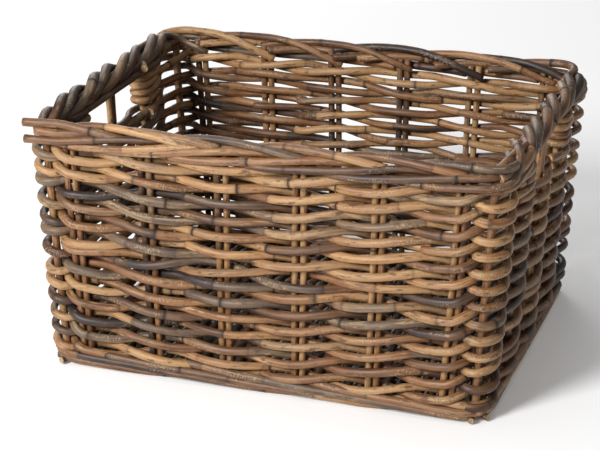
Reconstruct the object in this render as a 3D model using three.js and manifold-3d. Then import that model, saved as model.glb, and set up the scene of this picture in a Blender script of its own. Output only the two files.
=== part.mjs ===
// Rectangular log basket of round rattan rods, twined by hand on upright stakes.
// Millimetres, +Z up. The origin is the middle of the basket's footprint on the floor,
// +X runs along the long side and -Y faces the front wall.
import * as THREE from "three";
import { mergeVertices } from "three/addons/utils/BufferGeometryUtils.js";
import Module from "manifold-3d";

// ---- Driving dimensions ----
const HEIGHT = 266; // floor to the top of the rim
const TOP_HALF = { x: 250, y: 192 }; // half the outer size at the rim
const FOOT_HALF = { x: 234, y: 190 }; // half the outer size at the floor
const CORNER_R = 24; // corner radius of the wall's middle line
const GAP = 0.3; // clearance between pieces that bear on each other

const WEAVER_R = 3.9; // rods of the walls
const STAKE_R = 3.5; // each rod of an upright pair
const POST_R = 4.2; // single rod in each corner
const WEAVER_SIDES = 5;

const COURSE_TOP_Z = 229; // middle of the highest course
const COURSE_PITCH = 17.2;
const COURSES = 13;
const CUT_COURSES = 2; // the highest courses stop at the hand holes
const TWINE_RISE = 4.3; // how far a rod lies above or below the middle of its course between stakes

const STAKE_FOOT_Z = 14.5;
const STAKE_TOP_Z = 239.6;
const LONG_STAKES = [-0.85, -0.51, -0.17, 0.17, 0.51, 0.85]; // share of the half length
const SHORT_STAKES = [-0.48, 0, 0.48]; // share of the half width

const RIM_Z = 253.4; // middle of the rim
const RIM_ROD_R = 6.3; // each rod of a rim bundle
const BORDER_REACH = 45; // how far a long side's border runs on round each corner
const BORDER_TURNS = 2.5;
const ROPE_TURNS = 2.5;
const RAIL_R = 3.5; // straight rod along the top of each hand hole
const RAIL_OFFSET = 11.3; // from the rope's middle, inwards and down

const FOOT_BORDER = { height: 13.4, thick: 9, bevel: 2 };
const RUNNER = { r: 3.4, y: 84 };
const MAT = { z: 7.4, thick: 5.6, rod: 12.4, groove: 1.6 };

const OFFSET = STAKE_R + WEAVER_R + GAP; // wall's middle line to a rod passing a stake pair
const POST_OFFSET = POST_R + WEAVER_R + 1.1; // the same at a corner, where the rod also bends
const PASS = 2 * STAKE_R + 1; // half the length over which a rod lies straight past a pair
const POST_PASS = 6; // the same past a corner post
const WALL_HALF = OFFSET + WEAVER_R; // half the wall's thickness

const colours = {
  weaver: [0x9a6f48, 0x8a6140, 0xa77b50, 0x7d573a],
  stake: 0x7a5436,
  border: 0xa37349,
  handle: 0x80603f,
  foot: 0x6b4a30,
  base: 0x86603d,
};

const wasm = await Module();
wasm.setup();
const basket = new THREE.Group();

// ---- Wall layout ----

/** Half sizes of the wall's middle line at a height. */
function halfSize(z) {
  const share = z / HEIGHT;
  const at = (axis) =>
    FOOT_HALF[axis] + (TOP_HALF[axis] - FOOT_HALF[axis]) * share - WALL_HALF;
  return { x: at("x"), y: at("y") };
}

/** The four sides in order, anticlockwise from the front, each with its way of travel. */
const SIDES = [
  { name: "front", along: [1, 0], out: [0, -1], stakes: LONG_STAKES, length: "x", depth: "y" },
  { name: "right", along: [0, 1], out: [1, 0], stakes: SHORT_STAKES, length: "y", depth: "x" },
  { name: "back", along: [-1, 0], out: [0, 1], stakes: LONG_STAKES, length: "x", depth: "y" },
  { name: "left", along: [0, -1], out: [-1, 0], stakes: SHORT_STAKES, length: "y", depth: "x" },
];

/** A point beside a side's middle line: `s` along it, `n` outwards, at height `z`. */
function sidePoint(side, s, n, z) {
  const away = halfSize(z)[side.depth] + n;
  return new THREE.Vector3(
    side.along[0] * s + side.out[0] * away,
    side.along[1] * s + side.out[1] * away,
    z,
  );
}

/** A point round the corner at a side's end: `turn` from 0 to 1 through the bend. */
function cornerPoint(side, turn, n, z) {
  const half = halfSize(z);
  const angle = (turn * Math.PI) / 2;
  const r = CORNER_R + n;
  const s = half[side.length] - CORNER_R + r * Math.sin(angle);
  const depth = half[side.depth] - CORNER_R + r * Math.cos(angle);
  return new THREE.Vector3(
    side.along[0] * s + side.out[0] * depth,
    side.along[1] * s + side.out[1] * depth,
    z,
  );
}

/** Every upright in order round the wall, as a function giving a point beside it. */
function uprights() {
  const list = [];
  for (const side of SIDES) {
    side.stakes.forEach((share, i) => {
      const at = (ds, n, z) => sidePoint(side, share * halfSize(z)[side.length] + ds, n, z);
      list.push({ name: `stake_${side.name}_${i + 1}`, side, corner: false, at });
    });
    const perMm = 2 / (Math.PI * CORNER_R);
    const at = (ds, n, z) => cornerPoint(side, 0.5 + ds * perMm, n, z);
    list.push({ name: `corner_post_${side.name}_end`, side, corner: true, at });
  }
  return list;
}
const UPRIGHTS = uprights();

// ---- Rods ----

/** A smooth middle line sampled at its own points. The section stays level, or turns evenly along it. */
class RodPath extends THREE.CatmullRomCurve3 {
  constructor(points, closed = false, turns = 0) {
    super(points, closed);
    this.turns = turns;
    this.steps = closed ? points.length : points.length - 1;
  }
  getSpacedPoints(divisions) {
    return this.getPoints(divisions);
  }
  computeFrenetFrames(segments) {
    const frames = { tangents: [], normals: [], binormals: [] };
    for (let i = 0; i <= segments; i++) {
      const along = this.getTangent(this.closed && i === segments ? 0 : i / segments);
      const inward = new THREE.Vector3(-along.y, along.x, 0).normalize();
      inward.applyAxisAngle(along, (2 * Math.PI * this.turns * i) / segments);
      frames.tangents.push(along);
      frames.normals.push(inward);
      frames.binormals.push(new THREE.Vector3().crossVectors(along, inward));
    }
    return frames;
  }
}

/** A regular polygon, as the section of one rod. */
function roundSection(radius, sides) {
  const points = [];
  for (let i = 0; i < sides; i++) {
    const a = (2 * Math.PI * i) / sides;
    points.push(new THREE.Vector2(radius * Math.cos(a), radius * Math.sin(a)));
  }
  return new THREE.Shape(points);
}

/** The outline of rods lying together round one axis. */
function bundleSection(radius, rods, pointsPerRod) {
  const reach = rods === 2 ? radius * 0.9 : radius * 0.98;
  const spread = rods === 2 ? Math.PI * 0.62 : Math.PI * 0.5;
  const points = [];
  for (let k = 0; k < rods; k++) {
    const middle = (2 * Math.PI * k) / rods;
    for (let i = 0; i < pointsPerRod; i++) {
      const a = middle - spread + (2 * spread * i) / (pointsPerRod - 1);
      const x = reach * Math.cos(middle) + radius * Math.cos(a);
      const y = reach * Math.sin(middle) + radius * Math.sin(a);
      points.push(new THREE.Vector2(x, y));
    }
  }
  return new THREE.Shape(points);
}

/** One rod swept along a path. A closed path gives a ring without end faces. */
function sweep(section, path) {
  const swept = new THREE.ExtrudeGeometry(section, {
    steps: path.steps,
    bevelEnabled: false,
    extrudePath: path,
  });
  if (!path.closed) return swept;
  const walls = swept.groups[1];
  const all = swept.getAttribute("position").array;
  const kept = all.slice(walls.start * 3, (walls.start + walls.count) * 3);
  return new THREE.BufferGeometry().setAttribute("position", new THREE.BufferAttribute(kept, 3));
}

function addMesh(name, geometry, color) {
  const plain = mergeVertices(geometry.deleteAttribute("uv").deleteAttribute("normal"), 1e-3);
  plain.computeVertexNormals();
  const material = new THREE.MeshStandardMaterial({ color, roughness: 0.72, metalness: 0 });
  material.flatShading = true;
  const mesh = new THREE.Mesh(plain, material);
  mesh.name = name;
  basket.add(mesh);
  return mesh;
}

// ---- Uprights ----

/** Two round rods side by side, touching. */
function pairSection() {
  const points = [];
  for (const [middle, first] of [[STAKE_R, -0.5], [-STAKE_R, 0.5]]) {
    for (let i = 0; i < 5; i++) {
      const a = (first + 0.08 + (0.84 * i) / 4) * Math.PI;
      points.push(new THREE.Vector2(middle + STAKE_R * Math.cos(a), STAKE_R * Math.sin(a)));
    }
  }
  return new THREE.Shape(points);
}

/** An upright stands along the sloping wall, square to it. */
function addUpright(upright) {
  const foot = upright.at(0, 0, STAKE_FOOT_Z);
  const top = upright.at(0, 0, STAKE_TOP_Z);
  const axis = top.clone().sub(foot);
  const section = upright.corner ? roundSection(POST_R, 8) : pairSection();
  const geometry = new THREE.ExtrudeGeometry(section, {
    depth: axis.length(),
    bevelEnabled: false,
  });
  const mesh = addMesh(upright.name, geometry, colours.stake);
  const up = axis.normalize();
  const along = new THREE.Vector3(...upright.side.along, 0);
  const across = new THREE.Vector3().crossVectors(up, along).normalize();
  along.crossVectors(across, up);
  mesh.position.copy(foot);
  mesh.quaternion.setFromRotationMatrix(new THREE.Matrix4().makeBasis(along, across, up));
}

// ---- Courses ----

/** The points of one rod as it passes one upright, outside it or inside it. */
function passPoints(upright, outside, z) {
  const sign = outside ? 1 : -1;
  const n = sign * (upright.corner ? POST_OFFSET : OFFSET);
  const reach = upright.corner ? POST_PASS : PASS;
  const before = upright.at(-reach, n, z + sign * TWINE_RISE);
  const after = upright.at(reach, n, z - sign * TWINE_RISE);
  return upright.corner ? [before, upright.at(0, n, z), after] : [before, after];
}

/** One of the two rods of a full course: a ring outside and inside the uprights by turns. */
function addFullRod(name, z, startsOutside, color) {
  const points = UPRIGHTS.flatMap((u, i) => passPoints(u, (i % 2 === 0) === startsOutside, z));
  addMesh(name, sweep(roundSection(WEAVER_R, WEAVER_SIDES), new RodPath(points, true)), color);
}

/** The bend of a rod round a hand hole's edge, from one face of the wall to the other. */
function turnPoints(upright, way, fromOutside, z) {
  const reach = way * (2 * STAKE_R + GAP + WEAVER_R + 0.4);
  const sign = fromOutside ? 1 : -1;
  return [0.5, -0.5].map((share) =>
    upright.at(reach, sign * share * OFFSET, z + way * -share * TWINE_RISE),
  );
}

/** A cut course: one long rod round half the basket that doubles back at both hand holes. */
function addCutRod(name, z, list, color) {
  const last = list.length - 1;
  const going = list.flatMap((u, i) => passPoints(u, i % 2 === 0, z));
  const coming = list.flatMap((u, i) => passPoints(u, i % 2 === 1, z)).reverse();
  const points = [
    ...going,
    ...turnPoints(list[last], 1, last % 2 === 0, z),
    ...coming,
    ...turnPoints(list[0], -1, false, z),
  ];
  addMesh(name, sweep(roundSection(WEAVER_R, WEAVER_SIDES), new RodPath(points, true)), color);
}

/** The uprights from one hand hole to the other, past the named long side. */
function halfList(longSide) {
  const start = UPRIGHTS.findIndex((u) => u.name === `stake_${longSide}_1`) - 2;
  const count = LONG_STAKES.length + 4;
  return Array.from({ length: count }, (_, i) => UPRIGHTS.at((start + i) % UPRIGHTS.length));
}

function addCourses() {
  for (let k = 0; k < COURSES; k++) {
    const z = COURSE_TOP_Z - COURSE_PITCH * k;
    const label = `course_${String(k + 1).padStart(2, "0")}`;
    const color = colours.weaver[k % colours.weaver.length];
    const other = colours.weaver[(k + 2) % colours.weaver.length];
    if (k < CUT_COURSES) {
      addCutRod(`${label}_front`, z, halfList("front"), color);
      addCutRod(`${label}_back`, z, halfList("back"), other);
    } else {
      addFullRod(`${label}_a`, z, true, color);
      addFullRod(`${label}_b`, z, false, other);
    }
  }
}

// ---- Rim ----

/** Evenly spaced points of the rim's middle line from one place on it to another. */
function rimPoints(corners, step) {
  const path = new THREE.CurvePath();
  for (let i = 1; i < corners.length; i++) {
    const [a, b] = [corners[i - 1], corners[i]];
    const curve = b.bend ? new THREE.QuadraticBezierCurve3(a.at, b.bend, b.at) : new THREE.LineCurve3(a.at, b.at);
    path.add(curve);
  }
  return path.getSpacedPoints(Math.round(path.getLength() / step));
}

/** A long side's border: rods laid over each other, carried on round both corners. */
function addBorder(sideIndex) {
  const side = SIDES[sideIndex];
  const half = halfSize(RIM_Z);
  const end = half[side.length];
  const point = (s, inset) => sidePoint(side, s, -inset, RIM_Z);
  const corners = [
    { at: point(-end, CORNER_R + BORDER_REACH) },
    { at: point(-end, CORNER_R) },
    { at: point(-end + CORNER_R, 0), bend: point(-end, 0) },
    { at: point(end - CORNER_R, 0) },
    { at: point(end, CORNER_R), bend: point(end, 0) },
    { at: point(end, CORNER_R + BORDER_REACH) },
  ];
  const path = new RodPath(rimPoints(corners, 17), false, BORDER_TURNS);
  addMesh(`border_${side.name}`, sweep(bundleSection(RIM_ROD_R, 3, 3), path), colours.border);
}

/** A short side's rim: two thick rods twisted together over the hand hole. */
function addRope(sideIndex) {
  const side = SIDES[sideIndex];
  const end = halfSize(RIM_Z)[side.length] - CORNER_R - BORDER_REACH - GAP;
  const corners = [{ at: sidePoint(side, -end, 0, RIM_Z) }, { at: sidePoint(side, end, 0, RIM_Z) }];
  const path = new RodPath(rimPoints(corners, 9), false, ROPE_TURNS);
  addMesh(`handle_${side.name}`, sweep(bundleSection(RIM_ROD_R, 2, 4), path), colours.handle);
}

/** The straight rod along the inside of a handle, over the hand hole. */
function addRail(sideIndex) {
  const side = SIDES[sideIndex];
  const end = halfSize(RIM_Z)[side.length] - CORNER_R - BORDER_REACH;
  const at = (s) => {
    const p = sidePoint(side, s, -RAIL_OFFSET, RIM_Z);
    return p.setZ(RIM_Z - RAIL_OFFSET);
  };
  const path = new RodPath([at(-end), at(end)]);
  addMesh(`rail_${side.name}`, sweep(roundSection(RAIL_R, 8), path), colours.handle);
}

// ---- Foot and base ----

/** A rectangle with rounded corners, for the foot border and the base mat. */
function roundedRectangle(halfX, halfY, radius) {
  const shape = new THREE.Shape();
  const turns = [[1, -1, -90], [1, 1, 0], [-1, 1, 90], [-1, -1, 180]];
  for (const [sx, sy, from] of turns) {
    const start = THREE.MathUtils.degToRad(from);
    shape.absarc(sx * (halfX - radius), sy * (halfY - radius), radius, start, start + Math.PI / 2);
  }
  return shape;
}

/** The ring of rods that the uprights end in, flat underneath where it stands. */
function addFootBorder() {
  const half = halfSize(0);
  const { height, thick, bevel } = FOOT_BORDER;
  const outer = thick / 2 - bevel;
  const shape = roundedRectangle(half.x + outer, half.y + outer, CORNER_R + outer);
  shape.holes.push(roundedRectangle(half.x - outer, half.y - outer, CORNER_R - outer));
  const geometry = new THREE.ExtrudeGeometry(shape, {
    depth: height - 2 * bevel,
    bevelThickness: bevel,
    bevelSize: bevel,
    bevelSegments: 1,
    curveSegments: 4,
  });
  addMesh("foot_border", geometry, colours.foot).position.z = bevel;
}

/** The closed solid of a geometry, for joining and cutting. */
function solidOf(geometry) {
  const bare = geometry.clone().deleteAttribute("uv").deleteAttribute("normal");
  const merged = mergeVertices(bare, 1e-4);
  return new wasm.Manifold(
    new wasm.Mesh({
      numProp: 3,
      vertProperties: new Float32Array(merged.getAttribute("position").array),
      triVerts: new Uint32Array(merged.index.array),
    }),
  );
}

function geometryOf(solid) {
  const { vertProperties, triVerts } = solid.getMesh();
  const geometry = new THREE.BufferGeometry();
  geometry.setAttribute("position", new THREE.BufferAttribute(vertProperties, 3));
  geometry.setIndex(new THREE.BufferAttribute(triVerts, 1));
  return geometry;
}

/** The woven base: rods side by side across the basket, cut to the inside of the wall. */
function addMat() {
  const half = halfSize(MAT.z);
  const inset = WALL_HALF + GAP + 0.5;
  const rods = Math.ceil((half.x - inset) / MAT.rod);
  const ridge = [];
  for (let i = -rods; i <= rods; i++) {
    ridge.push([(i - 0.5) * MAT.rod, MAT.groove], [i * MAT.rod, 0]);
  }
  const top = ridge.map(([x, cut]) => new THREE.Vector2(x, MAT.thick - cut));
  const bottom = ridge.map(([x, cut]) => new THREE.Vector2(x, cut)).reverse();
  const sheet = new THREE.ExtrudeGeometry(new THREE.Shape([...bottom, ...top]), {
    depth: 2 * half.y,
    bevelEnabled: false,
  });
  sheet.translate(0, 0, -half.y).rotateX(Math.PI / 2);
  const plan = new THREE.ExtrudeGeometry(
    roundedRectangle(half.x - inset, half.y - inset, CORNER_R - WALL_HALF),
    { depth: 3 * MAT.thick, bevelEnabled: false, curveSegments: 3 },
  );
  plan.translate(0, 0, -MAT.thick);
  const cut = solidOf(sheet).intersect(solidOf(plan));
  addMesh("base_mat", geometryOf(cut), colours.base).position.z = MAT.z;
}

/** Two long sticks under the mat, from end to end of the foot border. */
function addRunners() {
  const reach = halfSize(0).x - FOOT_BORDER.thick / 2 - GAP;
  for (const [name, y] of [["base_stick_front", -RUNNER.y], ["base_stick_back", RUNNER.y]]) {
    const path = new RodPath([new THREE.Vector3(-reach, 0, 0), new THREE.Vector3(reach, 0, 0)]);
    const mesh = addMesh(name, sweep(roundSection(RUNNER.r, 8), path), colours.base);
    mesh.position.set(0, y, RUNNER.r + GAP);
  }
}

UPRIGHTS.forEach(addUpright);
addCourses();
addBorder(0);
addBorder(2);
addRope(1);
addRope(3);
addRail(1);
addRail(3);
addFootBorder();
addMat();
addRunners();

export default basket;
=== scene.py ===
import math
import random

import bmesh
import bpy
import numpy as np
from bpy.props import FloatProperty, FloatVectorProperty, IntProperty, PointerProperty
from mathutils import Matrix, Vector


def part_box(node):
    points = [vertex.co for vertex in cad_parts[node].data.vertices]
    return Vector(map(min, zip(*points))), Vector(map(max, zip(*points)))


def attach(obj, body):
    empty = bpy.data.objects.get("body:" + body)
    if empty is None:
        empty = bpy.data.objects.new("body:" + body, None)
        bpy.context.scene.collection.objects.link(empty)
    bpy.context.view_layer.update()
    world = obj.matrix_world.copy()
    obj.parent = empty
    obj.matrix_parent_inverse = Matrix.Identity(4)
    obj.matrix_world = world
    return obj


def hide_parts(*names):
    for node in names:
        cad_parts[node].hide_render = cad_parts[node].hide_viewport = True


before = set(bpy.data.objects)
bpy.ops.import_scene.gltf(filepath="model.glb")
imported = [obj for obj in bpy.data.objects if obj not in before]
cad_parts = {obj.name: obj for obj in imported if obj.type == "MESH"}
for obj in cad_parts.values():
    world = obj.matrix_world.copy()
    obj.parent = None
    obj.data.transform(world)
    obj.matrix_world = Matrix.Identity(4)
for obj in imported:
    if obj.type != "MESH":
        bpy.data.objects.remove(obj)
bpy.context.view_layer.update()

bl_info = {
    "name": "Log basket",
    "version": (1, 0, 0),
    "blender": (4, 5, 0),
    "location": "3D View > Sidebar > Basket",
    "description": "A rectangular log basket twined from round rattan rods",
    "category": "Object",
}

SEED = 41

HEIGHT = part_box("border_front")[1].z
COURSES = 13
CUT_COURSES = 2  # the highest courses, which stop at the hand holes


def middle_z(node):
    """The middle height of a CAD node."""
    low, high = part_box(node)
    return (low.z + high.z) / 2


RIM_Z = middle_z("border_front")


# ---------------------------------------------------------------- settings


class WallSettings(bpy.types.PropertyGroup):
    rim_half: FloatVectorProperty(
        name="Rim half size", description="Half the outer length and width at the rim",
        size=2, default=(0.250, 0.192), unit="LENGTH",
    )
    foot_half: FloatVectorProperty(
        name="Foot half size", description="Half the outer length and width at the floor",
        size=2, default=(0.234, 0.190), unit="LENGTH",
    )
    wall_half: FloatProperty(
        name="Half wall", description="Half the thickness of the woven wall",
        default=0.0116, unit="LENGTH",
    )
    corner_radius: FloatProperty(
        name="Corner radius", description="Radius of the wall's middle line in the corners",
        default=0.024, unit="LENGTH",
    )
    rod: FloatProperty(
        name="Weaving rod", description="Diameter of the rods of the walls",
        default=0.0090, unit="LENGTH",
    )
    stake: FloatProperty(
        name="Stake rod", description="Diameter of each rod of an upright pair",
        default=0.0072, unit="LENGTH",
    )
    pair_gap: FloatProperty(
        name="Pair gap", description="Gap between the two rods of an upright pair",
        default=0.0012, unit="LENGTH",
    )
    post: FloatProperty(
        name="Corner post", description="Diameter of the single rod in each corner",
        default=0.0086, unit="LENGTH",
    )
    rise: FloatProperty(
        name="Twine rise", description="How far a rod lies off its course's middle at crossings",
        default=0.0044, unit="LENGTH",
    )
    settle: FloatProperty(
        name="Settle", description="How far an outer rod sinks, and an inner one lifts, at a stake",
        default=0.0011, unit="LENGTH",
    )
    unevenness: FloatProperty(
        name="Unevenness", description="How far the handwork strays from a true line",
        default=0.0012, unit="LENGTH",
    )


class RimSettings(bpy.types.PropertyGroup):
    border_rod: FloatProperty(
        name="Border rod", description="Diameter of the rods of the long sides' borders",
        default=0.0082, unit="LENGTH",
    )
    stride: FloatProperty(
        name="Border stride", description="Distance between the strokes of the border",
        default=0.080, unit="LENGTH",
    )
    handle_rod: FloatProperty(
        name="Handle rod", description="Diameter of the twisted rods over the hand holes",
        default=0.0104, unit="LENGTH",
    )
    handle_turn: FloatProperty(
        name="Handle turn", description="Length of one full turn of the twist",
        default=0.160, unit="LENGTH",
    )
    rail: FloatProperty(
        name="Rail rod", description="Diameter of the straight rod over each hand hole",
        default=0.0072, unit="LENGTH",
    )


class BaseSettings(bpy.types.PropertyGroup):
    foot_rod: FloatProperty(
        name="Foot rod", description="Diameter of the rods of the foot border",
        default=0.0078, unit="LENGTH",
    )
    stick: FloatProperty(
        name="Base stick", description="Diameter of the long sticks of the base",
        default=0.0064, unit="LENGTH",
    )
    weaver: FloatProperty(
        name="Base weaver", description="Diameter of the rods across the base",
        default=0.0060, unit="LENGTH",
    )
    sticks: IntProperty(
        name="Sticks", description="How many pairs of long sticks the base has",
        default=5, min=2,
    )


class ColourSettings(bpy.types.PropertyGroup):
    dark: FloatVectorProperty(
        name="Dark bark", description="The darkest, almost black rods",
        size=3, subtype="COLOR", default=(0.020, 0.012, 0.010),
    )
    brown: FloatVectorProperty(
        name="Brown bark", description="Dark brown rods and streaks",
        size=3, subtype="COLOR", default=(0.074, 0.030, 0.012),
    )
    tan: FloatVectorProperty(
        name="Tan bark", description="The usual warm brown of the rods",
        size=3, subtype="COLOR", default=(0.212, 0.090, 0.032),
    )
    straw: FloatVectorProperty(
        name="Straw bark", description="The lightest rods",
        size=3, subtype="COLOR", default=(0.410, 0.228, 0.096),
    )
    bare: FloatVectorProperty(
        name="Bare wood", description="Wood where the bark has gone, and cut ends",
        size=3, subtype="COLOR", default=(0.490, 0.325, 0.170),
    )
    knot: FloatVectorProperty(
        name="Joint rings", description="The rings where the rattan's joints are",
        size=3, subtype="COLOR", default=(0.022, 0.010, 0.006),
    )
    dust: FloatVectorProperty(
        name="Grey bloom", description="Grey weathering of the bark",
        size=3, subtype="COLOR", default=(0.150, 0.100, 0.060),
    )
    umber: FloatVectorProperty(
        name="Grey-brown bark", description="Dark rods of the greyer kind",
        size=3, subtype="COLOR", default=(0.060, 0.036, 0.026),
    )
    ink: FloatVectorProperty(
        name="Inky bark", description="The darkest rods of the greyer kind",
        size=3, subtype="COLOR", default=(0.018, 0.013, 0.014),
    )


class StageSettings(bpy.types.PropertyGroup):
    floor: FloatVectorProperty(
        name="Floor", description="Colour of the floor",
        size=3, subtype="COLOR", default=(0.93, 0.93, 0.93),
    )
    glow: FloatProperty(
        name="Floor glow", description="Faint light of the floor, which keeps shadows pale",
        default=0.12, min=0.0,
    )
    azimuth: FloatProperty(
        name="Azimuth", description="Camera's bearing, from straight in front towards the right",
        default=math.radians(18.7), subtype="ANGLE",
    )
    elevation: FloatProperty(
        name="Elevation", description="Camera's height above the horizon",
        default=math.radians(20.9), subtype="ANGLE",
    )
    distance: FloatProperty(
        name="Distance", description="Camera's distance from the point it looks at",
        default=2.129, unit="LENGTH",
    )
    target: FloatVectorProperty(
        name="Target", description="The point that the camera looks at",
        size=3, default=(-0.0208, 0.0, 0.1108), unit="LENGTH",
    )
    lens: FloatProperty(
        name="Lens", description="Focal length", default=120.0, min=1.0, unit="CAMERA",
    )


class BasketSettings(bpy.types.PropertyGroup):
    wall: PointerProperty(type=WallSettings)
    rim: PointerProperty(type=RimSettings)
    base: PointerProperty(type=BaseSettings)
    colours: PointerProperty(type=ColourSettings)
    stage: PointerProperty(type=StageSettings)


# ---------------------------------------------------------------- wall layout


class Wall:
    """Where things are round the basket. A place along the wall is counted in uprights:
    0 is the first stake of the front, whole numbers are uprights, anticlockwise."""

    LONG = (-0.85, -0.51, -0.17, 0.17, 0.51, 0.85)
    SHORT = (-0.48, 0.0, 0.48)
    SIDES = (("front", LONG, 0), ("right", SHORT, 1), ("back", LONG, 0), ("left", SHORT, 1))
    WAYS = ((1, 0), (0, 1), (-1, 0), (0, -1))
    POST_CLEARANCE = 0.0006

    def __init__(self, settings):
        self.settings = settings
        self.names = []
        for name, stakes, _ in self.SIDES:
            self.names += [f"stake_{name}_{i + 1}" for i in range(len(stakes))]
            self.names.append(f"corner_post_{name}_end")
        self.count = len(self.names)

    def is_corner(self, number):
        return self.names[number % self.count].startswith("corner")

    def half(self, z):
        """Half sizes of the wall's middle line at a height."""
        s = self.settings
        share = z / HEIGHT
        return [
            foot + (rim - foot) * share - s.wall_half
            for rim, foot in zip(s.rim_half, s.foot_half)
        ]

    def lap(self, z):
        """Length of the wall's middle line at a height."""
        a, b = self.half(z)
        return 4 * (a + b) - (8 - 2 * math.pi) * self.settings.corner_radius

    def distances(self, z):
        """How far along the wall each upright stands, from the front side's middle."""
        half, r = self.half(z), self.settings.corner_radius
        bend = math.pi * r / 2
        found, start = [], -(half[0] - r)
        for _, stakes, axis in self.SIDES:
            straight = half[axis] - r
            found += [start + straight + share * half[axis] for share in stakes]
            found.append(start + 2 * straight + bend / 2)
            start += 2 * straight + bend
        return found

    def distance(self, place, z):
        """The distance along the wall of any place, which may pass the last upright."""
        found, lap = self.distances(z), self.lap(z)
        whole = math.floor(place)
        ends = [
            found[n % self.count] + lap * (n // self.count) for n in (whole, whole + 1)
        ]
        return ends[0] + (ends[1] - ends[0]) * (place - whole)

    def at_distance(self, d, n, z):
        """A point on the wall: `d` along its middle line, `n` outwards, at a height."""
        half, r = self.half(z), self.settings.corner_radius
        bend = math.pi * r / 2
        d = (d + half[0] - r) % self.lap(z)
        for (_, _, axis), (wx, wy) in zip(self.SIDES, self.WAYS):
            along, across = half[axis], half[1 - axis]
            straight = 2 * (along - r)
            if d <= straight:
                s, out = d - along + r, across + n
                break
            d -= straight
            if d <= bend:
                angle = d / r
                s = along - r + (r + n) * math.sin(angle)
                out = across - r + (r + n) * math.cos(angle)
                break
            d -= bend
        return Vector((wx * s + wy * out, wy * s - wx * out, z))

    def at(self, place, n, z):
        return self.at_distance(self.distance(place, z), n, z)

    def reach(self, place):
        """How far out a rod passes at a place: more round the thicker corner posts."""
        s = self.settings
        past_stake = (s.stake + s.rod) / 2
        past_post = (s.post + s.rod) / 2 + self.POST_CLEARANCE
        whole = math.floor(place)
        ends = [past_post if self.is_corner(n) else past_stake for n in (whole, whole + 1)]
        return ends[0] + (ends[1] - ends[0]) * (place - whole)

    def places(self, first, last, step, z):
        """Places from first to last, about a step apart along the wall."""
        found = []
        edges = [first] + list(range(math.floor(first) + 1, math.ceil(last))) + [last]
        for a, b in zip(edges, edges[1:]):
            length = self.distance(b, z) - self.distance(a, z)
            count = max(2, round(length / step))
            found += [a + (b - a) * i / count for i in range(count)]
        return found + [last]


# ---------------------------------------------------------------- rods


class Waves:
    """A smooth random line: a few sine waves of seeded phase. `size` is the height of the
    longest wave and `longest` its length, both in metres where the line is in metres."""

    def __init__(self, rng, size, longest, count=4):
        self.parts = [
            (
                size / (i + 1) * rng.uniform(0.6, 1.2),
                2 * math.pi * (i + 1) / longest * rng.uniform(0.85, 1.15),
                rng.uniform(0, 2 * math.pi),
            )
            for i in range(count)
        ]

    def __call__(self, x):
        return sum(a * np.sin(f * x + p) for a, f, p in self.parts)


def smoothstep(x):
    x = min(max(x, 0.0), 1.0)
    return x * x * (3 - 2 * x)


def through_keys(keys, u):
    """A value or vector that runs smoothly through keys of (place, value, ...)."""
    last = len(keys) - 1
    i = next((k for k in range(last) if u <= keys[k + 1][0]), last - 1)
    a, b = keys[i], keys[i + 1]
    t = min(max((u - a[0]) / (b[0] - a[0]), 0.0), 1.0)
    before, after = keys[max(i - 1, 0)], keys[min(i + 2, last)]
    found = []
    for k in range(1, len(a)):
        span = b[0] - a[0]
        slope_a = (b[k] - before[k]) / max(b[0] - before[0], 1e-9) * span
        slope_b = (after[k] - a[k]) / max(after[0] - a[0], 1e-9) * span
        found.append(
            (2 * t**3 - 3 * t**2 + 1) * a[k] + (t**3 - 2 * t**2 + t) * slope_a
            + (3 * t**2 - 2 * t**3) * b[k] + (t**3 - t**2) * slope_b
        )
    return found


def tone_of(rng):
    """How light a rod's bark is: mostly tan to brown, one in ten nearly black."""
    if rng.random() < 0.10:
        return rng.uniform(0.02, 0.14)
    return min(max(rng.gauss(0.50, 0.17), 0.16), 1.0)


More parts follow.
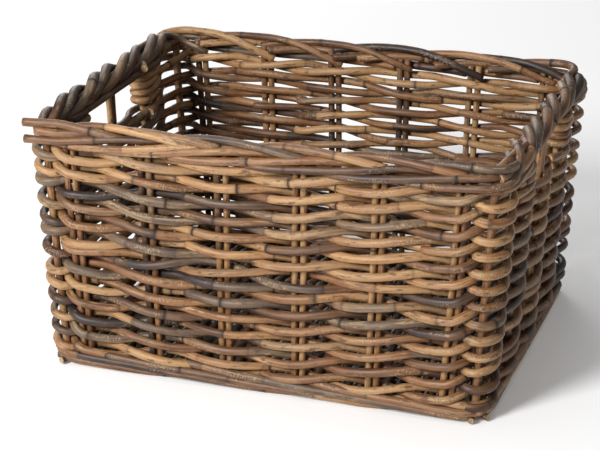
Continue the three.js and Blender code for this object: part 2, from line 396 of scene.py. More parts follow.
class RodLayer:
    """Collects rods in one mesh. Each rod is a round, swept curve with joint rings along it,
    closed by cut ends, and its corners carry its tone, its rings, its cuts and its hue."""

    JOINT_GAPS = (0.05, 0.15)
    RING_HALF = 0.0016
    # Shares of a rod's radius: a ring's swell, and the unevenness of its thickness
    SWELL = 0.06
    KNOBS = 0.025
    KNOB_LENGTH = 0.07
    END_MARGIN = 0.004
    PALE_SHARE = 0.14  # of the lengths between rings
    MAP_LENGTH = 40.0  # rods start anywhere along this length of bark
    WELD = 1e-6

    def __init__(self, rng, sides=12):
        self.rng, self.sides = rng, sides
        self.bm = bmesh.new()

    def lay(self, points, diameter, tone=None, taper=0.05):
        """One rod along the points."""
        rng = self.rng
        tone = tone_of(rng) if tone is None else tone
        hue = rng.gauss(0.38, 0.24)
        points = np.array([tuple(p) for p in points], float)
        steps = np.linalg.norm(np.diff(points, axis=0), axis=1)
        along = np.concatenate([[0.0], np.cumsum(steps)])
        rings = self.ring_places(along[-1])
        extra = [r + off for r in rings for off in (-self.RING_HALF, 0.0, self.RING_HALF)]
        where = np.unique(np.concatenate([along, extra]))
        where = where[np.concatenate([[True], np.diff(where) > 1e-5])]
        path = np.stack([np.interp(where, along, points[:, k]) for k in range(3)], axis=1)
        ringed, tones, hues = np.zeros(len(where)), np.full(len(where), tone), np.full(len(where), hue)
        for r in rings:
            near = np.clip(1 - np.abs(where - r) / (2 * self.RING_HALF), 0, 1)
            ringed = np.maximum(ringed, near * rng.uniform(0.25, 0.9))
            pale = 0.26 if rng.random() < self.PALE_SHARE else 0.0
            tones[where > r] = tone + rng.gauss(pale, 0.10)
            hues[where > r] = hue + rng.gauss(0.0, 0.10)
        lean = rng.choice((-1, 1)) * taper
        knobs = Waves(rng, self.KNOBS, self.KNOB_LENGTH, 3)
        radii = 1 + lean * (where / along[-1] - 0.5) + self.SWELL * ringed + knobs(where)
        marks = np.clip(np.column_stack([tones, ringed, hues]), 0.0, 1.0)
        self.sweep(path, radii * diameter / 2, where, marks)

    def ring_places(self, length):
        """How far along a rod of a length its joint rings are."""
        found, x = [], self.rng.uniform(0.01, self.JOINT_GAPS[1])
        while x < length - self.END_MARGIN:
            found.append(x)
            x += self.rng.uniform(*self.JOINT_GAPS)
        return found

    def sweep(self, path, radii, where, marks):
        """Adds a round, capped curve to the mesh: `where` and `marks` are along the path."""
        curve = bpy.data.curves.new("rod", "CURVE")
        curve.dimensions = "3D"
        spline = curve.splines.new("POLY")
        spline.points.add(len(path) - 1)
        spline.points.foreach_set("co", np.column_stack([path, np.ones(len(path))]).ravel())
        spline.points.foreach_set("radius", radii)
        curve.bevel_depth = 1.0
        curve.bevel_resolution = self.sides // 2 - 2
        curve.use_fill_caps = True
        holder = bpy.data.objects.new("rod", curve)
        mesh = bpy.data.meshes.new_from_object(holder)
        self.mark(mesh, where, marks)
        self.bm.from_mesh(mesh)
        bpy.data.objects.remove(holder)
        bpy.data.curves.remove(curve)
        bpy.data.meshes.remove(mesh)

    def mark(self, mesh, where, marks):
        """Gives the mesh its map, metres along and turns round the rod, and its corner values."""
        layer = mesh.uv_layers[0]
        uv = np.zeros(len(layer.uv) * 2)
        layer.uv.foreach_get("vector", uv)
        uv = uv.reshape(-1, 2)
        sizes = np.zeros(len(mesh.polygons), int)
        mesh.polygons.foreach_get("loop_total", sizes)
        cut = np.repeat(sizes == 3, sizes)
        station = np.rint(uv[:, 0] * (len(where) - 1)).astype(int)
        shift = self.rng.uniform(0, self.MAP_LENGTH)
        placed = np.column_stack([where[station] + shift, uv[:, 1]])
        corner = np.zeros(len(uv), int)
        mesh.loops.foreach_get("vertex_index", corner)
        spots = np.zeros(len(mesh.vertices) * 3)
        mesh.vertices.foreach_get("co", spots)
        spots = spots.reshape(-1, 3)[corner]
        placed[cut] = spots[cut][:, :2] + shift
        layer.uv.foreach_set("vector", placed.ravel())
        values = np.column_stack([marks[station, :2], cut, marks[station, 2]])
        values[cut, :2] = 0.5, 0.0
        layer = mesh.attributes.new("rod", "FLOAT_COLOR", "CORNER")
        layer.data.foreach_set("color", values.ravel())

    def finish(self, name, material, nodes):
        """The layer as one piece that rides on the basket and stands for CAD nodes."""
        bmesh.ops.remove_doubles(self.bm, verts=self.bm.verts[:], dist=self.WELD)
        for face in self.bm.faces:
            face.smooth = len(face.verts) > 3
        mesh = bpy.data.meshes.new(name)
        self.bm.to_mesh(mesh)
        self.bm.free()
        piece = bpy.data.objects.new(name, mesh)
        bpy.context.scene.collection.objects.link(piece)
        piece.data.materials.append(material)
        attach(piece, "root")
        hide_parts(*nodes)
        return piece


# ---------------------------------------------------------------- rattan

BARK_RADIUS = 0.0045  # a usual rod's, on which the bark's noise is laid


class Value:
    """A shader socket. Sums and products add Math nodes, and node() adds any other node."""

    def __init__(self, tree, socket=None):
        self.tree, self.socket = tree, socket

    def node(self, kind, settings=None, inputs=None, output=0):
        made = self.tree.nodes.new("ShaderNode" + kind)
        for key, value in (settings or {}).items():
            if key == "stops":
                made.color_ramp.elements.remove(made.color_ramp.elements[0])
                for place, colour in value:
                    made.color_ramp.elements.new(place).color = (*colour, 1)
                made.color_ramp.elements.remove(made.color_ramp.elements[-1])
            else:
                setattr(made, key, value)
        for key, value in (inputs or {}).items():
            if isinstance(value, Value):
                self.tree.links.new(value.socket, made.inputs[key])
            else:
                made.inputs[key].default_value = value
        return Value(self.tree, made.outputs[output])

    def maths(self, operation, first, second=0.0):
        return self.node("Math", {"operation": operation}, {0: first, 1: second})

    def __add__(self, other):
        return self.maths("ADD", self, other)

    def __sub__(self, other):
        return self.maths("SUBTRACT", self, other)

    def __rsub__(self, other):
        return self.maths("SUBTRACT", other, self)

    def __mul__(self, other):
        return self.maths("MULTIPLY", self, other)

    __radd__, __rmul__ = __add__, __mul__

    def beside(self, value, output):
        """Another output of the node that a value comes from."""
        return Value(self.tree, value.socket.node.outputs[output])

    def ramp(self, value, *stops):
        """A colour ramp through (place, colour) stops."""
        return self.node(
            "ValToRGB", {"stops": [(place, tuple(colour)) for place, colour in stops]}, {0: value}
        )

    def between(self, low, high):
        """0 below low, 1 above high, and smooth between."""
        return self.node(
            "MapRange", {"interpolation_type": "SMOOTHSTEP"},
            {"Value": self, "From Min": low, "From Max": high},
        )

    def noise(self, where, along, around, detail=3.0, roughness=0.55):
        """Noise stretched along a rod: how many times it changes in a metre each way."""
        stretched = self.node(
            "VectorMath", {"operation": "MULTIPLY"}, {0: where, 1: (along, around, around)}
        )
        return self.node(
            "TexNoise",
            inputs={"Vector": stretched, "Scale": 1.0, "Detail": detail, "Roughness": roughness},
        )

    def mix(self, share, first, second):
        return self.node(
            "Mix", {"data_type": "RGBA"}, {0: share, 6: first, 7: second}, output=2
        )


def place_on_rod(value, along, turns):
    """A place in space for noise that has no seam: metres along and turns round a rod."""
    angle = turns * (2 * math.pi)
    side = value.maths("COSINE", angle) * BARK_RADIUS
    height = value.maths("SINE", angle) * BARK_RADIUS
    return value.node("CombineXYZ", inputs={0: along, 1: side, 2: height})


def rattan(name, colours, lift, grey=0.3, bare=1.0):
    """Round rattan: streaked bark with rings, worn patches, a grey bloom and cut ends.
    `lift` lightens the rods, `grey` is the bloom and `bare` how much bark has gone."""
    material = bpy.data.materials.new(name)
    material.use_nodes = True
    tree = material.node_tree
    shader = tree.nodes["Principled BSDF"]
    value = Value(tree)

    # what the rods carry
    marks = value.node("Attribute", {"attribute_name": "rod"})
    hue = value.beside(marks, "Alpha")
    tone = value.node("SeparateColor", inputs={0: marks})
    ring, cut = value.beside(tone, "Green"), value.beside(tone, "Blue")
    flat = value.node("UVMap", {"uv_map": "UVMap"})
    along = value.node("SeparateXYZ", inputs={0: flat})
    where = place_on_rod(value, along, value.beside(along, "Y"))

    # noise, from the longest streaks to the finest grain
    slow = value.noise(where, 6, 60, detail=1.0)
    streaks = value.noise(where, 11, 420, detail=4.0, roughness=0.65)
    patches = value.noise(where, 16, 130, detail=5.0, roughness=0.7)
    flecks = value.noise(where, 24, 90, detail=2.0)
    blotches = value.noise(where, 30, 110, detail=3.0)
    spots = value.noise(where, 75, 230, detail=3.0)
    scratches = value.noise(where, 260, 1500, detail=2.0)
    ticks = value.noise(where, 900, 420, detail=1.0)
    grain = value.noise(flat, 1900, 1900, detail=2.0)

    # bark
    level = (
        tone + lift + (streaks - 0.5) * 1.0 + (blotches - 0.5) * 0.75 + (slow - 0.5) * 0.5
    )
    warm = value.ramp(level, (0.05, colours.dark), (0.24, colours.brown),
                      (0.54, colours.tan), (0.90, colours.straw))
    cool = value.ramp(level, (0.05, colours.ink), (0.26, colours.umber),
                      (0.58, colours.dust), (0.98, colours.straw))
    bark = value.mix((hue + (slow - 0.5) * 0.8).between(0.45, 0.75), warm, cool)
    bloom = (blotches + slow - 0.80).between(0.0, 0.5) * grey
    bark = value.mix(bloom, bark, (*colours.dust, 1))

    # wear, spots and rings
    worn = patches.between(0.585, 0.64) * tone.between(0.2, 0.5) * bare
    skin = value.mix(worn * 0.62, bark, (*colours.bare, 1))
    ticked = flecks.between(0.56, 0.62) * ticks.between(0.52, 0.62)
    skin = value.mix(ticked * 0.5, skin, (*colours.bare, 1))
    skin = value.mix(scratches.between(0.54, 0.70) * 0.38, skin, (*colours.dark, 1))
    skin = value.mix(spots.between(0.57, 0.66) * 0.75, skin, (*colours.brown, 1))
    halo = ring.between(0.02, 0.5) * 0.45 + ring.between(0.35, 0.8) * 0.6
    skin = value.mix(halo * (blotches + 0.55), skin, (*colours.knot, 1))
    end = value.mix(grain.between(0.40, 0.60) * 0.75, (*colours.bare, 1), (*colours.brown, 1))
    colour = value.mix(cut, skin, end)

    # surface
    roughness = 0.40 + blotches * 0.2 + worn * 0.16 + cut * 0.2 + ring * 0.3
    relief = streaks * 0.5 + scratches * 0.15 + ticked * 0.2 + worn * -0.35 + blotches * 0.35
    bump = value.node("Bump", inputs={"Strength": 0.6, "Distance": 0.0008, "Height": relief})
    shader.inputs["Specular IOR Level"].default_value = 0.45
    tree.links.new(colour.socket, shader.inputs["Base Color"])
    tree.links.new(roughness.socket, shader.inputs["Roughness"])
    tree.links.new(bump.socket, shader.inputs["Normal"])
    return material


def finish_of(context, kind):
    """The material of a kind of rod, made the first time it is asked for."""
    kinds = {
        "weaving_rattan": {"lift": 0.03},
        "upright_rattan": {"lift": 0.13, "grey": 0.3, "bare": 0.8},
        "border_rattan": {"lift": -0.11, "grey": 0.3},
        "handle_rattan": {"lift": -0.16, "grey": 0.5, "bare": 0.8},
        "foot_rattan": {"lift": -0.10, "grey": 0.5},
        # The base's rods are made much darker, with little grey bloom or bare wood, as painted shade
        # for the floor inside the basket, which the walls keep dark.
        "base_rattan": {"lift": -0.38, "grey": 0.1, "bare": 0.2},
    }
    name = f"barked_{kind}"
    made = bpy.data.materials.get(name)
    return made or rattan(name, context.scene.log_basket.colours, **kinds[kind])


# ---------------------------------------------------------------- courses


class Course:
    """One twined course of two rods round the wall, at a height. ORDER tells, after each
    upright, whether the rod that comes to the outside passes over (1) or under (-1) the other."""

    STEP = 0.0048
    ORDER = (1, 1, -1, -1, -1, -1, 1, 1, 1, 1, -1, 1, 1, -1, -1, 1, 1, -1, -1, 1, 1, 1)
    SLIPS = 0.07  # share of the crossings that are made the other way
    JITTER = 0.0007
    SQUARENESS = 0.85  # 1 is a sine wave, less stays longer at the wall's faces
    TAIL_TUCK = 0.0045
    # A doubled-back rod's end: how deep it lies on the outside and on the inside
    END_DEPTHS = (0.0065, 0.004)

    def __init__(self, wall, z, rng, shared):
        self.wall, self.z, self.rng = wall, z, rng
        self.wander = Waves(rng, wall.settings.unevenness * 0.45, 0.5)
        self.shared = shared
        self.order = [-o if rng.random() < self.SLIPS else o for o in self.ORDER]
        self.jitter = [rng.gauss(0, self.JITTER) for _ in self.ORDER]

    def height(self, place):
        """The course's middle height, which strays by itself and with its neighbours."""
        d = self.wall.distance(place, self.z)
        return self.z + self.wander(d) + self.shared(d)

    def rise(self, half_place, first):
        """How far above its course's middle a rod is, at an upright or halfway between two."""
        upright, halfway = divmod(half_place, 2)
        outside = first == (upright % 2 == 0)
        if halfway:
            order = self.order[upright % len(self.order)]
            return self.wall.settings.rise * (-order if outside else order)
        mean = (self.rise(half_place - 1, first) + self.rise(half_place + 1, first)) / 2
        settle = self.wall.settings.settle
        return mean + (-settle if outside else settle) + self.jitter[upright % len(self.order)]

    def point(self, place, first, hold=None, tuck=0.0):
        """A point of the first or second rod. `hold` keeps the rise it has at that place."""
        side = 1 if first else -1
        reach = self.wall.reach(place)
        n = side * reach * math.cos(math.pi * place)
        n = math.copysign(abs(n) ** self.SQUARENESS * reach ** (1 - self.SQUARENESS), n)
        at = 2 * (place if hold is None else hold)
        low = math.floor(at)
        keys = [(k, self.rise(k, first)) for k in range(low - 1, low + 3)]
        z = self.height(place) + through_keys(keys, at)[0]
        return self.wall.at(place, n - tuck, z)

    def rod(self, layer, first, start, end):
        """One rod from place to place, its tail leaning inwards."""
        points = []
        for place in self.wall.places(start, end, self.STEP, self.z):
            tuck = self.TAIL_TUCK * smoothstep((place - end + 0.35) / 0.3)
            points.append(self.point(place, first, tuck=tuck))
        diameter = self.wall.settings.rod * self.rng.uniform(0.88, 1.07)
        layer.lay(points, diameter)

    def ring(self, layer, first):
        """A whole rod line round the basket, joined from lengths. About half of the new heads
        show on the outside, and the old rod's tail runs on behind them."""
        inside = 1 if first else 0
        stops = []
        place = inside + 2 * self.rng.randrange(3)
        while not stops or place < stops[0] + self.wall.count - 3:
            stops.append(place)
            place += 2 * self.rng.choice((2, 2, 3, 3, 4))
        stops.append(stops[0] + self.wall.count)
        shown = [self.rng.uniform(0.36, 0.58) if self.rng.random() < 0.5 else 0 for _ in stops]
        shown[-1] = shown[0]
        for a, b, head, tail in zip(stops, stops[1:], shown, shown[1:]):
            lead = head or -self.rng.uniform(0.04, 0.10)
            self.rod(layer, first, a + lead, b + self.rng.uniform(0.12, 0.22) + tail * 0.9)

    def half_ring(self, layer, first, start, end):
        """A rod from one hand hole to the other, turned round the edge upright at both."""
        places = self.wall.places(start, end, self.STEP, self.z)
        points = []
        for q in places:
            hold = min(max(q, start + 0.5), end - 0.5)
            hold = None if start + 0.5 <= q <= end - 0.5 else hold
            points.append(self.point(q, first, hold))
        head = self.turn(start, first, -1, points[0].z)
        tail = self.turn(end, first, 1, points[-1].z)
        diameter = self.wall.settings.rod * self.rng.uniform(0.93, 1.04)
        layer.lay(head[::-1] + points + tail, diameter)

    def turn(self, place, first, way, z):
        """The bend round a hand hole's edge, and the end that runs back along the wall."""
        wall = self.wall
        reach = wall.reach(place)
        side = (1 if first else -1) * math.cos(math.pi * place)
        middle = wall.distance(place, z)
        beyond = wall.settings.stake * 0.9
        back = self.rng.uniform(0.016, 0.030)
        points = []
        for i in range(1, 13):
            angle = math.pi * i / 12
            d = middle + way * (beyond + reach * math.sin(angle))
            points.append(wall.at_distance(d, side * reach * math.cos(angle), z))
        depth = self.END_DEPTHS[side > 0]
        for i in range(1, 7):
            d = middle + way * (beyond - (beyond + back) * i / 6)
            n = -side * (reach - depth * smoothstep(i / 4 - 0.5))
            points.append(wall.at_distance(d, n, z))
        return points


def course_name(number):
    return f"course_{number:02d}"


class BASKET_OT_courses(bpy.types.Operator):
    """Weaves the thirteen twined courses, the two highest ending at the hand holes"""

    bl_idname = "basket.courses"
    bl_label = "Courses"

    def execute(self, context):
        wall = Wall(context.scene.log_basket.wall)
        material = finish_of(context, "weaving_rattan")
        rng = random.Random(SEED)
        shared = Waves(rng, wall.settings.unevenness * 0.7, 0.8)
        for number in range(1, COURSES + 1):
            if number <= CUT_COURSES:
                self.cut(wall, number, rng, shared, material)
            else:
                self.full(wall, number, rng, shared, material)
        return {"FINISHED"}

    def cut(self, wall, number, rng, shared, material):
        """A course in two halves, from one hand hole to the other."""
        first_stake = {"front": -2, "back": wall.names.index("stake_back_1") - 2}
        for half, start in first_stake.items():
            node = f"{course_name(number)}_{half}"
            course = Course(wall, middle_z(node), rng, shared)
            layer = RodLayer(rng)
            for first in (True, False):
                course.half_ring(layer, first, start, start + 9)
            layer.finish(f"woven_{node}", material, [node])

    def full(self, wall, number, rng, shared, material):
        """A course of two rod lines right round the basket."""
        nodes = [f"{course_name(number)}_{letter}" for letter in "ab"]
        course = Course(wall, middle_z(nodes[0]), rng, shared)
        for node, first in zip(nodes, (True, False)):
            layer = RodLayer(rng)
            course.ring(layer, first)
            layer.finish(f"woven_{node}", material, [node])


# ---------------------------------------------------------------- uprights


class BASKET_OT_uprights(bpy.types.Operator):
    """Stands the pairs of stakes in the walls and a single post in each corner"""

    bl_idname = "basket.uprights"
    bl_label = "Uprights"

    FOOT_Z = 0.005
    POST_FOOT_Z = 0.001
    BELOW_RIM = 0.003
    SWAY, SWAY_LENGTH = 0.0004, 0.3
    STEPS = 26

    def execute(self, context):
        wall = Wall(context.scene.log_basket.wall)
        material = finish_of(context, "upright_rattan")
        rng = random.Random(SEED + 1)
        top = RIM_Z - self.BELOW_RIM
        for number, node in enumerate(wall.names):
            layer = RodLayer(rng, 10)
            corner = wall.is_corner(number)
            size = wall.settings.post if corner else wall.settings.stake
            pitch = size + wall.settings.pair_gap
            for offset in (0,) if corner else (-0.5, 0.5):
                sway, lean = (Waves(rng, self.SWAY, self.SWAY_LENGTH, 2) for _ in range(2))
                points = []
                foot = self.POST_FOOT_Z if corner else self.FOOT_Z
                for i in range(self.STEPS + 1):
                    z = foot + (top - foot) * i / self.STEPS
                    d = wall.distance(number, z) + offset * pitch + sway(z)
                    points.append(wall.at_distance(d, lean(z), z))
                layer.lay(points, size * rng.uniform(0.95, 1.0))
            layer.finish(f"rods_{node}", material, [node])
        return {"FINISHED"}


# ---------------------------------------------------------------- rim


class BASKET_OT_borders(bpy.types.Operator):
    """Lays the rolled borders of the long sides, stroke over stroke, on round the corners"""

    bl_idname = "basket.borders"
    bl_label = "Borders"

    # Strokes in the wall's cross-section: strides on, outwards, above the rim's middle
    OVER = (
        (-0.15, -0.0030, -0.0150), (0.12, -0.0066, -0.0065), (0.38, -0.0068, 0.0008),
        (0.68, -0.0038, 0.0058), (1.08, 0.0004, 0.0072), (1.50, 0.0044, 0.0054),
        (1.85, 0.0052, 0.0016), (2.12, 0.0016, -0.0030),
    )
    ROUND = (
        (0.10, -0.0005, -0.0120), (0.35, 0.0048, -0.0128), (0.70, 0.0082, -0.0130),
        (1.20, 0.0088, -0.0100), (1.70, 0.0078, -0.0050), (2.20, 0.0040, -0.0014),
        (2.60, -0.0020, -0.0022), (2.86, -0.0074, -0.0040), (3.04, -0.0100, -0.0046),
    )
    STEP = 0.0042
    PAST_CORNER = 0.125
    # Where a stroke stops past the corner: how deep it goes, over which length
    TUCK, TUCK_LENGTH = 0.011, 0.035
    STRAY, STRAY_LENGTH = 0.0007, 0.25
    # First strokes of a side: keys, strides before the corner, length past the corner
    FIRST = ((OVER, 0.95, 0.016), (ROUND, 1.0, 0.012), (ROUND, 1.75, 0.002))

    def execute(self, context):
        settings = context.scene.log_basket
        wall = Wall(settings.wall)
        rng = random.Random(SEED + 2)
        material = finish_of(context, "border_rattan")
        for side, first in (("front", 0), ("back", wall.names.index("stake_back_1"))):
            layer = RodLayer(rng)
            corner = wall.distance(first - 1, RIM_Z)
            limit = wall.distance(first + 6, RIM_Z) + self.PAST_CORNER
            for number in range(-1, 6):
                start = wall.distance(first + number, RIM_Z)
                for keys in (self.OVER, self.ROUND):
                    self.stroke(layer, wall, settings.rim, rng, start, keys, limit)
            for keys, shift, head in self.FIRST:
                start = corner - shift * settings.rim.stride
                if side == "front":
                    self.overhang(layer, wall, settings.rim, rng, start, corner, keys, head)
                else:
                    self.stroke(layer, wall, settings.rim, rng, start, keys, limit, shift - 0.5)
            layer.finish(f"rods_border_{side}", material, [f"border_{side}"])
        return {"FINISHED"}

    def stroke(self, layer, wall, rim, rng, start, keys, limit, skip=-1.0):
        """A rod that follows the keys from a place along the wall, from `skip` strides on."""
        begin, end = max(keys[0][0], skip), keys[-1][0] - rng.uniform(0.0, 0.12)
        stop = (limit - rng.uniform(0, 0.03) - start) / rim.stride
        end = min(end, stop)
        count = max(2, round((end - begin) * rim.stride / self.STEP))
        lift, push = (Waves(rng, self.STRAY, self.STRAY_LENGTH, 3) for _ in range(2))
        points = []
        for i in range(count + 1):
            u = begin + (end - begin) * i / count
            n, h = through_keys(keys, u)
            d = start + u * rim.stride
            tuck = self.TUCK * smoothstep(1 - (stop - u) * rim.stride / self.TUCK_LENGTH)
            points.append(wall.at_distance(d, n - tuck + push(d), RIM_Z + h + lift(d)))
        layer.lay(points, rim.border_rod * rng.uniform(0.93, 1.08), taper=0.08)

    def overhang(self, layer, wall, rim, rng, start, corner, keys, head):
        """A first stroke, whose straight head sticks out past the corner."""
        turn = corner + wall.settings.corner_radius
        heading = wall.at_distance(turn + 0.01, 0, RIM_Z) - wall.at_distance(turn, 0, RIM_Z)
        heading.normalize()
        stretch = wall.settings.corner_radius + head
        begin, end = turn - stretch, start + keys[-1][0] * rim.stride
        count = round((end - begin) / self.STEP)
        slope = rng.uniform(-0.06, 0.12)
        points = []
        for i in range(count + 1):
            d = begin + (end - begin) * i / count
            n, h = through_keys(keys, (max(d, turn) - start) / rim.stride)
            ahead = min(d - turn, 0.0)
            point = wall.at_distance(max(d, turn), n, RIM_Z + h - ahead * slope)
            points.append(point + heading * ahead)
        layer.lay(points, rim.border_rod * rng.uniform(0.96, 1.08), rng.uniform(0.5, 0.7), 0.04)


class BASKET_OT_handles(bpy.types.Operator):
    """Twists the thick rods of the short sides' rims over the hand holes, with their rails"""

    bl_idname = "basket.handles"
    bl_label = "Handles"

    ANGLES = (0.0, 72.0, 180.0, 252.0)
    STEP = 0.0042
    TWIST_RADIUS = 0.0084
    CORE_ROD = 0.0068
    # The twist's ends under the borders: length, drop and how much slimmer
    SINK_LENGTH, SINK, SLIMMER = 0.045, 0.006, 0.45
    # How far the twist and the rod inside it stop short of the corners
    TWIST_INSET, CORE_INSET = 0.006, 0.03
    WOBBLE, WOBBLE_LENGTH = 0.0006, 0.2
    # The rail's ends, which rise into the twist
    RAIL_END, RAIL_RISE = 0.022, 0.010
    SAG, SAG_LENGTH = 0.0008, 0.3

    def execute(self, context):
        settings = context.scene.log_basket
        wall = Wall(settings.wall)
        material = finish_of(context, "handle_rattan")
        rng = random.Random(SEED + 3)
        for side in ("right", "left"):
            middle = wall.distance(wall.names.index(f"stake_{side}_2"), RIM_Z)
            layer = RodLayer(rng)
            for angle in self.ANGLES:
                self.strand(layer, wall, settings.rim, rng, middle, math.radians(angle))
            self.core(layer, wall, middle)
            layer.finish(f"rods_handle_{side}", material, [f"handle_{side}"])
            layer = RodLayer(rng)
            self.rail(layer, wall, settings.rim, rng, middle)
            layer.finish(f"rods_rail_{side}", material, [f"rail_{side}"])
        return {"FINISHED"}

    def strand(self, layer, wall, rim, rng, middle, angle):
        """One rod of the twist. At both ends it sinks under the borders."""
        half = wall.half(RIM_Z)[1] - self.TWIST_INSET
        count = round(2 * half / self.STEP)
        wobble = Waves(rng, self.WOBBLE, self.WOBBLE_LENGTH, 3)
        points = []
        for i in range(count + 1):
            d = -half + 2 * half * i / count
            turn = angle + 2 * math.pi * d / rim.handle_turn
            sink = smoothstep((abs(d) - half) / self.SINK_LENGTH + 1)
            radius = self.TWIST_RADIUS * (1 - self.SLIMMER * sink) + wobble(d)
            n = radius * math.cos(turn)
            z = RIM_Z + radius * math.sin(turn) - self.SINK * sink
            points.append(wall.at_distance(middle + d, n, z))
        layer.lay(points, rim.handle_rod * rng.uniform(0.94, 1.05), taper=0.06)

    def core(self, layer, wall, middle):
        """The straight rod inside the twist."""
        half = wall.half(RIM_Z)[1] - self.CORE_INSET
        points = [
            wall.at_distance(middle - half + 2 * half * i / 40, 0, RIM_Z) for i in range(41)
        ]
        layer.lay(points, self.CORE_ROD, tone=0.3)

    def rail(self, layer, wall, rim, rng, middle):
        """The straight rod along the inside of the handle, over the hole."""
        low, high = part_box("rail_right")
        z, half = (low.z + high.z) / 2, (high.y - low.y) / 2
        inset = wall.half(RIM_Z)[0] - (low.x + high.x) / 2
        sag = Waves(rng, self.SAG, self.SAG_LENGTH, 2)
        lean = wall.half(RIM_Z)[0] - wall.half(z)[0] - inset
        half += self.RAIL_END
        points = []
        for i in range(49):
            d = half * (i / 24 - 1)
            tuck = self.RAIL_RISE * smoothstep((abs(d) - half) / self.RAIL_END + 1)
            points.append(wall.at_distance(middle + d, lean + tuck, z + tuck + sag(d)))
        layer.lay(points, rim.rail, 0.35)


# ---------------------------------------------------------------- foot and base


class BASKET_OT_foot(bpy.types.Operator):
    """Winds the foot border: long rods laid over each other along the floor"""

    bl_idname = "basket.foot"
    bl_label = "Foot border"

    STEP = 0.0048
    STRIDE = 0.125
    MIDDLE_Z = 0.01
    STRAY, STRAY_LENGTH = 0.0004, 0.3
    # A stroke's way through the border: strides on, outwards, above the floor
    KEYS = (
        (0.00, -0.0060, 0.0105), (0.25, -0.0005, 0.0180), (0.75, 0.0062, 0.0168),
        (1.40, 0.0070, 0.0122), (2.10, 0.0062, 0.0082), (2.75, 0.0040, 0.0050),
        (3.20, -0.0020, 0.0046), (3.45, -0.0070, 0.0052),
    )
    # Cut ends out of each corner: aside, height, reach
    CORNER_ENDS = ((-0.007, 0.0044, 0.0115), (0.005, 0.0048, 0.0130), (-0.001, 0.0128, 0.0110))

    def execute(self, context):
        settings = context.scene.log_basket
        wall = Wall(settings.wall)
        rng = random.Random(SEED + 4)
        rod = settings.base.foot_rod
        layer = RodLayer(rng)
        lap = wall.lap(self.MIDDLE_Z)
        count = round(lap / self.STRIDE)
        for number in range(count):
            self.stroke(layer, wall, rod, rng, (number + rng.uniform(-0.1, 0.1)) * lap / count)
        for number in filter(wall.is_corner, range(wall.count)):
            self.corner_ends(layer, wall, rod, rng, wall.distance(number, self.MIDDLE_Z))
        material = finish_of(context, "foot_rattan")
        layer.finish("rods_foot_border", material, ["foot_border"])
        return {"FINISHED"}

    def stroke(self, layer, wall, rod, rng, start):
        """A rod that starts behind the lowest course and sinks along the wall to the floor."""
        length = self.KEYS[-1][0] - rng.uniform(0.0, 0.15)
        count = round(length * self.STRIDE / self.STEP)
        lift, push = (Waves(rng, self.STRAY, self.STRAY_LENGTH, 3) for _ in range(2))
        points = []
        for i in range(count + 1):
            u = length * i / count
            n, z = through_keys(self.KEYS, u)
            d = start + u * self.STRIDE
            points.append(wall.at_distance(d, n + push(d), z + abs(lift(d))))
        layer.lay(points, rod * rng.uniform(0.92, 1.05), taper=0.06)

    def corner_ends(self, layer, wall, rod, rng, corner):
        """The cut ends of rods that come out of the base at a corner."""
        for aside, z, reach in self.CORNER_ENDS:
            size = rod * rng.uniform(0.8, 1.0)
            reach += rng.uniform(-0.002, 0.001)
            points = [
                wall.at_distance(corner + aside * (0.4 + 0.6 * i / 8), reach * (i / 4 - 1), z)
                for i in range(9)
            ]
            layer.lay(points, size, rng.uniform(0.2, 0.4), 0.02)


class BASKET_OT_base(bpy.types.Operator):
    """Weaves the base: rods across the basket, over and under the long sticks"""

    bl_idname = "basket.base"
    bl_label = "Base"

    # From the wall's middle line in to the base's edge, in halves of the wall's thickness
    EDGE_INSET = 0.4
    SPREAD = 0.96  # how close to the long walls the outer sticks lie
    STEPS = 60

    def execute(self, context):
        settings = context.scene.log_basket
        wall = Wall(settings.wall)
        base = settings.base
        rng = random.Random(SEED + 5)
        z = middle_z("base_mat")
        reach_x, reach_y = (h - settings.wall.wall_half * self.EDGE_INSET for h in wall.half(z))
        lines = [
            reach_y * (2 * i + 1 - base.sticks) / base.sticks * self.SPREAD
            for i in range(base.sticks)
        ]
        layer = RodLayer(rng, 10)
        for y in lines:
            for offset in (-0.5, 0.5):
                line = y + offset * base.stick
                points = [
                    Vector((reach_x * (2 * i / self.STEPS - 1), line, z))
                    for i in range(self.STEPS + 1)
                ]
                layer.lay(points, base.stick * 0.97)
        # The base's finish is darkened as painted shade.
        material = finish_of(context, "base_rattan")
        nodes = ["base_stick_front", "base_stick_back"]
        layer.finish("rods_base_sticks", material, nodes)
        layer = RodLayer(rng, 8)
        self.weave(layer, base, rng, z, reach_x, reach_y, lines)
        layer.finish("woven_base", material, ["base_mat"])
        return {"FINISHED"}

    def weave(self, layer, base, rng, z, reach_x, reach_y, lines):
        """The rods across, a little thicker than their spacing, so that no gap shows."""
        gap = lines[1] - lines[0]
        lift = (base.stick + base.weaver) / 2 * 0.82
        edge = reach_x - base.weaver / 2
        count = math.floor(2 * edge / base.weaver)
        for k in range(count):
            x = edge * ((2 * k + 1) / count - 1)
            corner = corner_loss(reach_x - abs(x))
            span = reach_y - corner
            way = 1 if k % 2 else -1
            points = []
            for i in range(self.STEPS + 1):
                y = span * (2 * i / self.STEPS - 1)
                wave = math.cos(math.pi * (y - lines[0]) / gap)
                points.append(Vector((x, y, z + way * lift * wave)))
            layer.lay(points, base.weaver * rng.uniform(1.22, 1.3), taper=0.02)


def corner_loss(distance, radius=0.018):
    """How much shorter a line across the base is, close to a rounded corner."""
    if distance >= radius:
        return 0.0
    return radius - math.sqrt(radius**2 - (radius - distance) ** 2)


# ---------------------------------------------------------------- stage


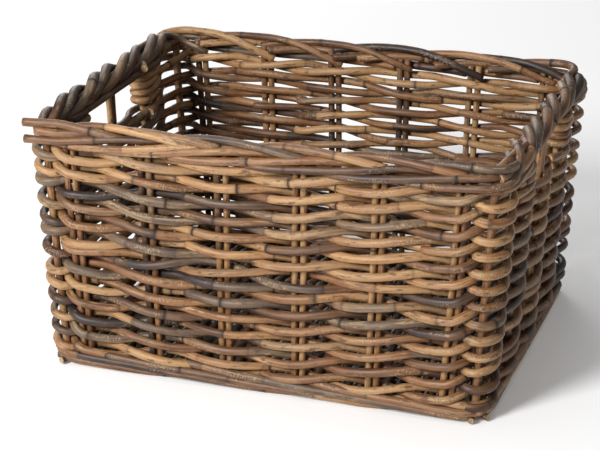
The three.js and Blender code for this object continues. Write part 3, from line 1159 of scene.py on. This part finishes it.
class BASKET_OT_stage(bpy.types.Operator):
    """Sets the pale floor, the soft lights and the camera"""

    bl_idname = "basket.stage"
    bl_label = "Stage"

    FLOOR_SIZE = 12.0
    AIM = (0.0, 0.0, 0.12)
    AMBIENT = 0.21
    # name, place, size, power, in metres and watts
    LAMPS = (
        ("key_lamp", (-1.3, -2.8, 1.8), 1.1, 156.0),
        ("top_lamp", (0.0, 0.2, 3.1), 2.4, 16.0),
        ("back_lamp", (-1.6, 2.8, 1.3), 1.8, 36.0),
    )

    def execute(self, context):
        settings = context.scene.log_basket.stage
        self.floor(context, settings)
        for name, place, size, power in self.LAMPS:
            self.lamp(context, name, place, size, power)
        self.world(context)
        self.camera(context, settings)
        context.scene.view_settings.view_transform = "Standard"
        return {"FINISHED"}

    def floor(self, context, settings):
        """The pale floor, with a faint glow."""
        bm = bmesh.new()
        bmesh.ops.create_grid(bm, x_segments=1, y_segments=1, size=self.FLOOR_SIZE / 2)
        mesh = bpy.data.meshes.new("floor")
        bm.to_mesh(mesh)
        bm.free()
        floor = bpy.data.objects.new("floor", mesh)
        context.scene.collection.objects.link(floor)
        material = bpy.data.materials.new("pale_floor")
        material.use_nodes = True
        shader = material.node_tree.nodes["Principled BSDF"]
        shader.inputs["Base Color"].default_value = (*settings.floor, 1)
        shader.inputs["Roughness"].default_value = 0.9
        shader.inputs["Emission Color"].default_value = (1.0, 1.0, 1.0, 1)
        shader.inputs["Emission Strength"].default_value = settings.glow
        mesh.materials.append(material)

    def lamp(self, context, name, place, size, power):
        """A round soft lamp, turned towards the basket."""
        light = bpy.data.lights.new(name, "AREA")
        light.shape = "DISK"
        light.size = size
        light.energy = power
        lamp = bpy.data.objects.new(name, light)
        lamp.location = place
        aim = Vector(self.AIM) - Vector(place)
        lamp.rotation_euler = aim.to_track_quat("-Z", "Y").to_euler()
        context.scene.collection.objects.link(lamp)

    def world(self, context):
        """An even, dim white all round."""
        world = bpy.data.worlds.new("studio")
        world.use_nodes = True
        background = world.node_tree.nodes["Background"]
        background.inputs["Color"].default_value = (1.0, 1.0, 1.0, 1)
        background.inputs["Strength"].default_value = self.AMBIENT
        context.scene.world = world

    def camera(self, context, settings):
        """The camera, looking at its target from a bearing and a height."""
        data = bpy.data.cameras.new("camera")
        data.lens = settings.lens
        data.clip_start, data.clip_end = 0.01, 50.0
        camera = bpy.data.objects.new("camera", data)
        a, e = settings.azimuth, settings.elevation
        back = Vector((math.sin(a) * math.cos(e), -math.cos(a) * math.cos(e), math.sin(e)))
        camera.location = Vector(settings.target) + back * settings.distance
        camera.rotation_euler = (-back).to_track_quat("-Z", "Y").to_euler()
        context.scene.collection.objects.link(camera)
        context.scene.camera = camera


# ---------------------------------------------------------------- panel and run


STEPS = (
    BASKET_OT_courses, BASKET_OT_uprights, BASKET_OT_borders, BASKET_OT_handles,
    BASKET_OT_foot, BASKET_OT_base, BASKET_OT_stage,
)


class BASKET_PT_panel(bpy.types.Panel):
    """Lists the basket's pieces and their settings"""

    bl_idname = "BASKET_PT_panel"
    bl_label = "Log basket"
    bl_space_type = "VIEW_3D"
    bl_region_type = "UI"
    bl_category = "Basket"

    def draw(self, context):
        for step in STEPS:
            self.layout.operator(step.bl_idname)
        settings = context.scene.log_basket
        for part in (settings.wall, settings.rim, settings.base, settings.colours, settings.stage):
            box = self.layout.box()
            for name in part.__annotations__:
                box.prop(part, name)


CLASSES = (
    WallSettings, RimSettings, BaseSettings, ColourSettings, StageSettings, BasketSettings,
    *STEPS, BASKET_PT_panel,
)


def register():
    for cls in CLASSES:
        bpy.utils.register_class(cls)
    bpy.types.Scene.log_basket = PointerProperty(type=BasketSettings)


def unregister():
    del bpy.types.Scene.log_basket
    for cls in reversed(CLASSES):
        bpy.utils.unregister_class(cls)


def main():
    register()
    for step in STEPS:
        group, name = step.bl_idname.split(".")
        getattr(getattr(bpy.ops, group), name)()


if __name__ == "__main__":
    main()
